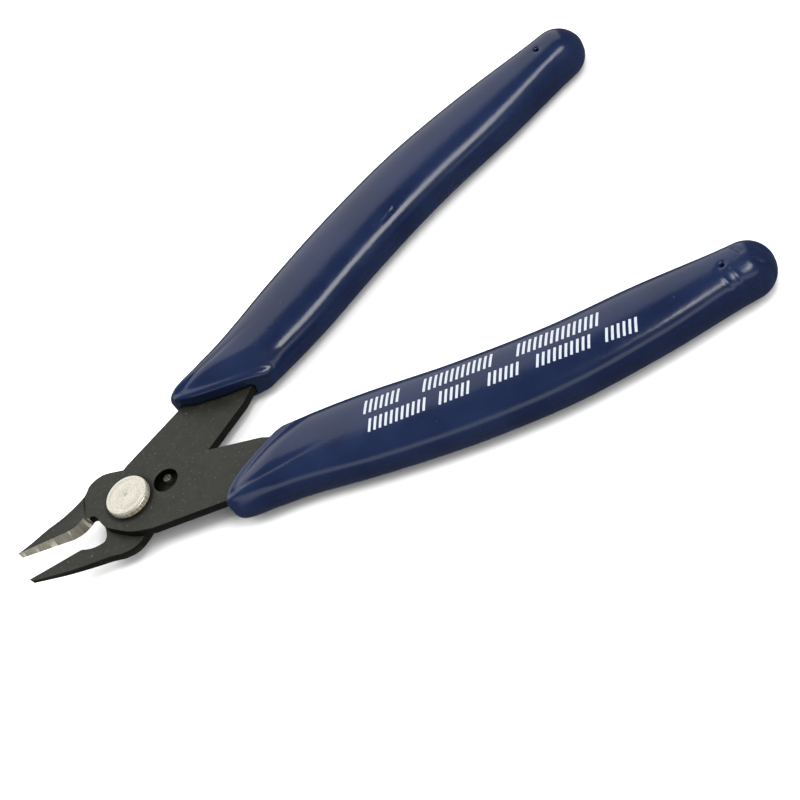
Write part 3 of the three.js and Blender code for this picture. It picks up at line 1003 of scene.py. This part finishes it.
def grip(name, top_sign, slid, marks, seed):
    """A dipped sleeve over the tang, with a pinhole near its end and nicks in its upper face.

    top_sign is the side of the half's own z that faces up when the tool lies on the bench. marks
    holds (start, end, width, depth) of the nicks.
    """
    made = carve(grip_skin(name), behind_mouth(slid), "INTERSECT")
    made = carve(made, tang_cavity())
    hole_y = handle_at(PINHOLE_X).x + PINHOLE_SHIFT_Y
    hole = prism("hole", circle((PINHOLE_X, hole_y), PINHOLE_RADIUS, 24), 2.2, 6)
    if top_sign < 0:
        hole.data.transform(Matrix.Rotation(math.pi, 4, "X"))
        hole.data.transform(Matrix.Translation((0, 2 * hole_y, 0)))
    made = carve(made, hole)
    remesh = made.modifiers.new("dip", "REMESH")
    remesh.mode = "VOXEL"
    remesh.voxel_size = VOXEL
    apply_modifiers(made)
    points = np.array([v.co for v in made.data.vertices])
    made.data.vertices.foreach_set("co", shape_mouth(points, slid).ravel())
    soften = made.modifiers.new("soften", "SMOOTH")
    soften.factor = 0.5
    soften.iterations = 7
    apply_modifiers(made)
    points = np.array([v.co for v in made.data.vertices])
    normals = np.array([v.normal for v in made.data.vertices])
    swell = [noise.noise(v.co * SWELL_SCALE + Vector((seed, 0, 0))) for v in made.data.vertices]
    push = SWELL * np.array(swell)
    on_top = points[:, 2] * top_sign > -1.0
    for start, end, width, depth in marks:
        gap = distance_to_line(points[:, :2], [Vector(start), Vector(end)])
        push -= depth * np.exp(-((gap / width) ** 2)) * on_top
    made.data.vertices.foreach_set("co", (points + normals * push[:, None]).ravel())
    for face in made.data.polygons:
        face.use_smooth = True
    made.data.materials.clear()
    return made


# ---- print -----------------------------------------------------------------------------------

# Each row as (start, end, height, the lengths of its words, which have equal gaps between them).
PRINT_ROWS = [
    ((42.0, 8.2), (81.2, 14.2), 2.7, (7.0, 12.6, 14.0)),
    ((41.8, 12.0), (86.8, 18.6), 2.4, (10.2, 6.4, 6.2, 9.4, 6.4)),
]
STROKE_WIDTH = 0.42
STROKE_PITCH = 0.92
STROKE_SLANT = 0.5
INK_HEIGHT = 0.035
INK_SUNK = 0.08


def print_strokes():
    """(start, end) of every stroke, in the front half's plan."""
    made = []
    for start, end, height, words in PRINT_ROWS:
        a, b = Vector(start), Vector(end)
        along = (b - a).normalized()
        across = Vector((-along.y, along.x))
        gap = ((b - a).length - sum(words)) / (len(words) - 1)
        at = 0.0
        for word in words:
            count = int(word / STROKE_PITCH)
            for k in range(count):
                foot = a + along * (at + k * STROKE_PITCH) + across * height / 2
                made.append((foot, foot - across * height + along * STROKE_SLANT))
            at += word + gap
    return made


def print_rows(grip_object):
    """Thin slanted strokes of ink that lie on the front grip's upper face."""
    tree = BVHTree.FromPolygons(
        [v.co for v in grip_object.data.vertices], [p.vertices for p in grip_object.data.polygons]
    )
    bm = bmesh.new()
    for start, end in print_strokes():
        along = (end - start).normalized()
        across = Vector((-along.y, along.x)) * STROKE_WIDTH / 2
        length_steps = 7
        top, bottom = [], []
        for k in range(length_steps + 1):
            pair_top, pair_bottom = [], []
            for side in (-1, 1):
                spot = start.lerp(end, k / length_steps) + across * side
                hit, normal, _, _ = tree.ray_cast(Vector((spot.x, spot.y, -12)), Vector((0, 0, 1)))
                pair_top.append(bm.verts.new(hit + normal * INK_HEIGHT))
                pair_bottom.append(bm.verts.new(hit - normal * INK_SUNK))
            top.append(pair_top)
            bottom.append(pair_bottom)
        for k in range(length_steps):
            bm.faces.new((top[k][0], top[k][1], top[k + 1][1], top[k + 1][0]))
            bm.faces.new((bottom[k][0], bottom[k][1], bottom[k + 1][1], bottom[k + 1][0]))
            for side in (0, 1):
                bm.faces.new((top[k][side], top[k + 1][side], bottom[k + 1][side], bottom[k][side]))
        for k in (0, length_steps):
            bm.faces.new((top[k][0], top[k][1], bottom[k][1], bottom[k][0]))
    made = new_object("grip_print", bm)
    made.data.materials.append(MATERIALS["print"])
    return made


# ---- camera, light and floor -----------------------------------------------------------------


LENS = 96.1
CAMERA_AZIMUTH = 3.13
CAMERA_ELEVATION = 45.69
CAMERA_ROLL = 36.41
CAMERA_DISTANCE = 332.74
CAMERA_AIM = (45.22, -14.27, 0)

# Each light as (name, direction, distance, size, power, whether reflections show it). The
# distances and sizes are in metres, and the powers in watts.
LIGHTS = [
    ("backdrop_glow", (-0.20, 0.86, 0.43), 0.95, (1.7, 1.05), 5.4, True),
    ("overhead_strip", (0.31, -0.25, 0.92), 0.5, (0.26, 0.14), 0.9, True),
    ("front_fill", (-0.22, -0.72, 0.60), 0.7, (1.2, 0.24), 1.1, True),
    ("key", (-0.45, 0.35, 0.82), 0.8, (0.9, 0.9), 11.0, False),
    ("fill", (0.55, -0.45, 0.75), 0.8, (0.9, 0.9), 7.5, False),
]
WORLD_STRENGTH = 0.12
FLOOR_HALF_SIZE = 2.0


def look_matrix(azimuth, elevation, roll, aim, distance):
    """Azimuth 0 looks along +Y. The roll turns the camera clockwise."""
    a, e, r = math.radians(azimuth), math.radians(elevation), math.radians(roll)
    back = Vector((math.sin(a) * math.cos(e), -math.cos(a) * math.cos(e), math.sin(e)))
    right = Vector((math.cos(a), math.sin(a), 0))
    up = back.cross(right)
    rolled_up = up * math.cos(r) + right * math.sin(r)
    rolled_right = right * math.cos(r) - up * math.sin(r)
    turn = Matrix((rolled_right, rolled_up, back)).transposed().to_4x4()
    return Matrix.Translation(aim + back * distance) @ turn


def add_camera():
    """The camera that took the photo, as far as the outline tells."""
    data = bpy.data.cameras.new("camera")
    data.lens = LENS
    data.sensor_width = 36
    data.clip_start = 0.01
    data.clip_end = 20
    camera = bpy.data.objects.new("camera", data)
    bpy.context.scene.collection.objects.link(camera)
    aim = pivot + Vector(CAMERA_AIM) * MM
    camera.matrix_world = look_matrix(
        CAMERA_AZIMUTH, CAMERA_ELEVATION, CAMERA_ROLL, aim, CAMERA_DISTANCE * MM
    )
    bpy.context.scene.camera = camera


def add_area(name, direction, distance, size, power, in_reflections):
    """An area light that faces the tool's middle from a direction."""
    data = bpy.data.lights.new(name, "AREA")
    data.shape = "RECTANGLE"
    data.size, data.size_y = size
    data.energy = power
    light = bpy.data.objects.new(name, data)
    bpy.context.scene.collection.objects.link(light)
    away = Vector(direction).normalized()
    middle = (cad_low + cad_high) / 2
    turn = away.to_track_quat("Z", "Y").to_matrix().to_4x4()
    light.matrix_world = Matrix.Translation(middle + away * distance) @ turn
    light.visible_glossy = in_reflections


def add_light():
    """A dim white world, and the area lights."""
    world = bpy.data.worlds.new("studio")
    world.use_nodes = True
    world.node_tree.nodes["Background"].inputs["Color"].default_value = (1, 1, 1, 1)
    world.node_tree.nodes["Background"].inputs["Strength"].default_value = WORLD_STRENGTH
    bpy.context.scene.world = world
    for light in LIGHTS:
        add_area(*light)


def add_floor():
    """A pale floor at z = 0, which reflections don't show."""
    bm = bmesh.new()
    bmesh.ops.create_grid(bm, x_segments=4, y_segments=4, size=FLOOR_HALF_SIZE)
    floor = new_object("floor", bm)
    floor.data.materials.append(floor_material())
    floor.visible_glossy = False


# ---- build -----------------------------------------------------------------------------------

bpy.context.scene.view_settings.view_transform = "Standard"
add_camera()
add_light()
add_floor()

# The window as the rear blade lies under it.
window_on_rear = (Matrix.Rotation(-2 * half_open, 2) @ Vector(WINDOW)).to_tuple()

MATERIALS = {
    # The front plate's spot is a painted shadow round the rivet's head, and the rear plate's spot is
    # painted shade in the hollow under the window.
    "front_plate": black_plate_material("front_black_plate", [((0, 0), 4.1, 0.7)]),
    "rear_plate": black_plate_material("rear_black_plate", [(window_on_rear, 2.6, 1.0)]),
    "wall": plate_wall_material(),
    "edge": worn_highlit_edge_material(),
    "ground": ground_face_material(),
    "rivet": rivet_material(),
    "rivet_side": rivet_side_material(),
    "pin": dark_pin_material(),
    "spring": spring_wire_material(),
    "print": print_ink_material(),
    "front_vinyl": vinyl_material("navy_vinyl_front", [((104, 17), (4, 6), 0.2)]),
    "rear_vinyl": vinyl_material(
        "navy_vinyl_rear",
        [((60, 9.5), (4, 3), 0.9), ((72, 10), (12, 4), 0.5)],
    ),
}

shank_hole = ((0, 0), SHANK_RADIUS + FIT_CLEARANCE)
front_holes = [shank_hole, (WINDOW, WINDOW_RADIUS)]
front_plate = MATERIALS["front_plate"]
front_blade = blade("front_blade_fine", FRONT_JAW, JAW_OUTER_SHIFT, -1, front_holes, front_plate)
place(front_blade, "front_half", "black_steel", "front_blade")
rear_holes = [shank_hole, (STOP_PIN, STOP_PIN_RADIUS + FIT_CLEARANCE)]
rear_plate = MATERIALS["rear_plate"]
rear_blade = blade("rear_blade_fine", REAR_JAW, -JAW_OUTER_SHIFT, 1, rear_holes, rear_plate)
place(rear_blade, "rear_half", "black_steel", "rear_blade")

place(rivet(), "front_half", "bright_steel", "pivot_rivet")
place(stop_pin(), "rear_half", "spring_steel", "stop_pin")

wire = spring()
lay(wire, "front_half")
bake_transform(wire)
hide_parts("return_spring")

# Nicks in the grips, each as (start, end, width, depth).
FRONT_MARKS = [
    ((103.0, 13.4), (103.8, 15.0), 0.28, 0.26),
    ((101.4, 17.2), (102.4, 20.6), 0.35, 0.16),
    ((105.2, 17.5), (106.9, 18.6), 0.40, 0.34),
    ((104.6, 20.0), (106.0, 22.0), 0.35, 0.30),
    ((106.2, 14.2), (107.4, 15.8), 0.32, 0.30),
    ((99.4, 16.2), (100.2, 19.4), 0.30, 0.12),
]
REAR_MARKS = [
    ((106.4, 12.9), (107.3, 14.1), 0.4, 0.15),
    ((61.0, 9.0), (64.0, 9.6), 0.3, 0.06),
    ((63.5, 9.4), (65.0, 10.8), 0.25, 0.06),
]
front_grip = grip("front_grip_fine", -1, (0.0, 0.5), FRONT_MARKS, 3.7)
ink = print_rows(front_grip)
front_grip.data.materials.append(MATERIALS["front_vinyl"])
place(front_grip, "front_half", "blue_vinyl", "front_grip")
lay(ink, "front_half")
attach(ink, "front_half")
rear_grip = grip("rear_grip_fine", 1, (-1.0, 1.7), REAR_MARKS, 11.3)
rear_grip.data.materials.append(MATERIALS["rear_vinyl"])
place(rear_grip, "rear_half", "blue_vinyl", "rear_grip")
